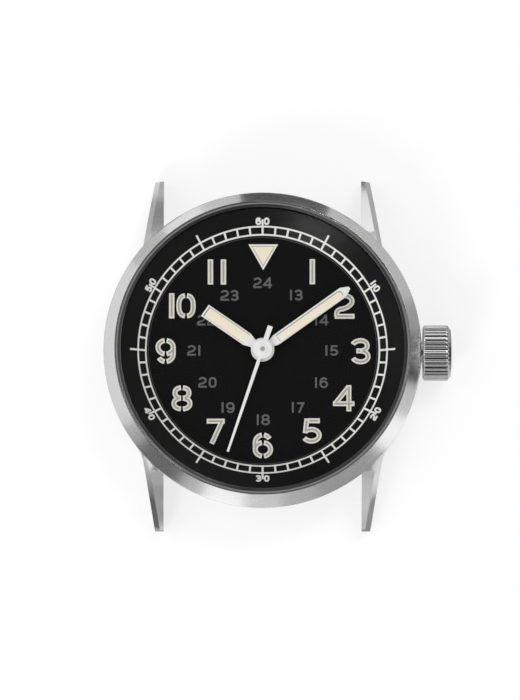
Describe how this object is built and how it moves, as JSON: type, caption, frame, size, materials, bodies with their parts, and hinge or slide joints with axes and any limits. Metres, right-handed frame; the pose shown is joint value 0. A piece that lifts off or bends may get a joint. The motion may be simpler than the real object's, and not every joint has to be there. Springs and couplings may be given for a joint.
{
  "type": "field watch",
  "caption": "Round steel field watch head with a domed crystal, black numbered dial, three hands, fluted crown and long lugs for a strap.",
  "frame": {"origin": "centre of the case back's flat outer face, on the axis of the hands", "axes": "+Z out of the dial through the crystal, +Y towards 12 o'clock, +X towards 3 o'clock and the crown"},
  "size_m": [0.0422, 0.0428, 0.0098],
  "materials": {
    "case_steel": "bead-blasted and satin-brushed steel",
    "bezel_steel": "circular-brushed steel with a polished lip",
    "crown_steel": "polished flutes, satin end",
    "crystal_glass": "clear, domed, anti-reflective",
    "dial_black": "matt black with pale printed numerals",
    "chapter_black": "matt black slope with a white minute track",
    "hand_silver": "fine satin, bright edges",
    "hand_white": "white lacquer",
    "lume_cream": "grainy cream luminous paint",
    "seal_rubber": "black nitrile",
    "spacer_plastic": "white acetal",
    "plate_metal": "nickel-plated brass, grained",
    "wheel_brass": "fine-grained brass",
    "stem_steel": "turned steel",
    "magnet_dark": "sintered magnet, dark grey",
    "stator_metal": "annealed nickel-iron",
    "coil_copper": "enamelled copper wire",
    "board_green": "solder mask with gold tracks",
    "chip_black": "black epoxy",
    "cell_steel": "nickel-plated cell can",
    "clamp_steel": "spring steel strip"
  },
  "bodies": {
    "case": {"case_middle": "case_steel", "bezel": "bezel_steel", "crystal": "crystal_glass", "crystal_gasket": "seal_rubber", "chapter_ring": "chapter_black", "case_back": "case_steel", "case_back_gasket": "seal_rubber", "movement_ring": "spacer_plastic", "dial": "dial_black", "crown_tube": "stem_steel", "yoke": "clamp_steel", "main_plate": "plate_metal", "train_bridge": "plate_metal", "stator": "stator_metal", "coil": "coil_copper", "coil_core": "stator_metal", "circuit_board": "board_green", "quartz_crystal": "cell_steel", "control_chip": "chip_black", "battery": "cell_steel", "battery_clamp": "clamp_steel", "movement_screws": "stem_steel"},
    "seconds": {"second_hand": "hand_white", "second_wheel": "wheel_brass"},
    "third": {"third_wheel": "wheel_brass"},
    "minutes": {"minute_hand": "hand_silver", "minute_hand_lume": "lume_cream", "cannon_pinion": "stem_steel", "centre_wheel": "wheel_brass"},
    "minute_wheel": {"minute_wheel": "wheel_brass"},
    "setting_wheel": {"setting_wheel": "wheel_brass"},
    "hours": {"hour_hand": "hand_silver", "hour_hand_lume": "lume_cream", "hour_wheel": "wheel_brass", "dial_washer": "wheel_brass"},
    "intermediate": {"intermediate_wheel": "wheel_brass"},
    "rotor": {"rotor": "magnet_dark"},
    "sliding_pinion": {"sliding_pinion": "stem_steel"},
    "crown": {"crown": "crown_steel", "crown_gasket": "seal_rubber", "winding_stem": "stem_steel"},
    "setting_lever": {"setting_lever": "clamp_steel"}
  },
  "joints": [
    {"name": "second_turn", "type": "hinge", "parent": "case", "child": "seconds", "pos_m": [0, 0, 0], "axis": [0, 0, -1], "continuous": true},
    {"name": "third_turn", "type": "hinge", "parent": "case", "child": "third", "pos_m": [-0.00251, -0.00176, 0], "axis": [0, 0, -1], "continuous": true},
    {"name": "minute_turn", "type": "hinge", "parent": "case", "child": "minutes", "pos_m": [0, 0, 0], "axis": [0, 0, -1], "continuous": true},
    {"name": "minute_wheel_turn", "type": "hinge", "parent": "case", "child": "minute_wheel", "pos_m": [0.00256, 0, 0], "axis": [0, 0, -1], "continuous": true},
    {"name": "hour_turn", "type": "hinge", "parent": "case", "child": "hours", "pos_m": [0, 0, 0], "axis": [0, 0, -1], "continuous": true},
    {"name": "setting_wheel_turn", "type": "hinge", "parent": "case", "child": "setting_wheel", "pos_m": [0.00576, 0, 0], "axis": [0, 0, -1], "continuous": true},
    {"name": "intermediate_turn", "type": "hinge", "parent": "case", "child": "intermediate", "pos_m": [0.00027, 0.00305, 0], "axis": [0, 0, -1], "continuous": true},
    {"name": "rotor_turn", "type": "hinge", "parent": "case", "child": "rotor", "pos_m": [0.0022, 0.00467, 0], "axis": [0, 0, -1], "continuous": true},
    {"name": "crown_turn", "type": "hinge", "parent": "case", "child": "sliding_pinion", "pos_m": [0.0076, 0, 0.0039], "axis": [1, 0, 0], "continuous": true},
    {"name": "crown_pull", "type": "slide", "parent": "sliding_pinion", "child": "crown", "axis": [1, 0, 0], "range_m": [0, 0.001]},
    {"name": "setting_lever_swing", "type": "hinge", "parent": "case", "child": "setting_lever", "pos_m": [0.0103, 0.0029, 0], "axis": [0, 0, 1], "range_deg": [0, 22.9]}
  ],
  "couplings": [
    {"joint": "third_turn", "follows": "second_turn", "ratio": -0.13333},
    {"joint": "minute_turn", "follows": "second_turn", "ratio": 0.016667},
    {"joint": "minute_wheel_turn", "follows": "second_turn", "ratio": -0.0055556},
    {"joint": "hour_turn", "follows": "second_turn", "ratio": 0.0013889},
    {"joint": "setting_wheel_turn", "follows": "second_turn", "ratio": 0.0083333},
    {"joint": "intermediate_turn", "follows": "second_turn", "ratio": -5},
    {"joint": "rotor_turn", "follows": "second_turn", "ratio": 30},
    {"joint": "setting_lever_swing", "follows": "crown_pull", "rad_per_m": 397.8}
  ]
}
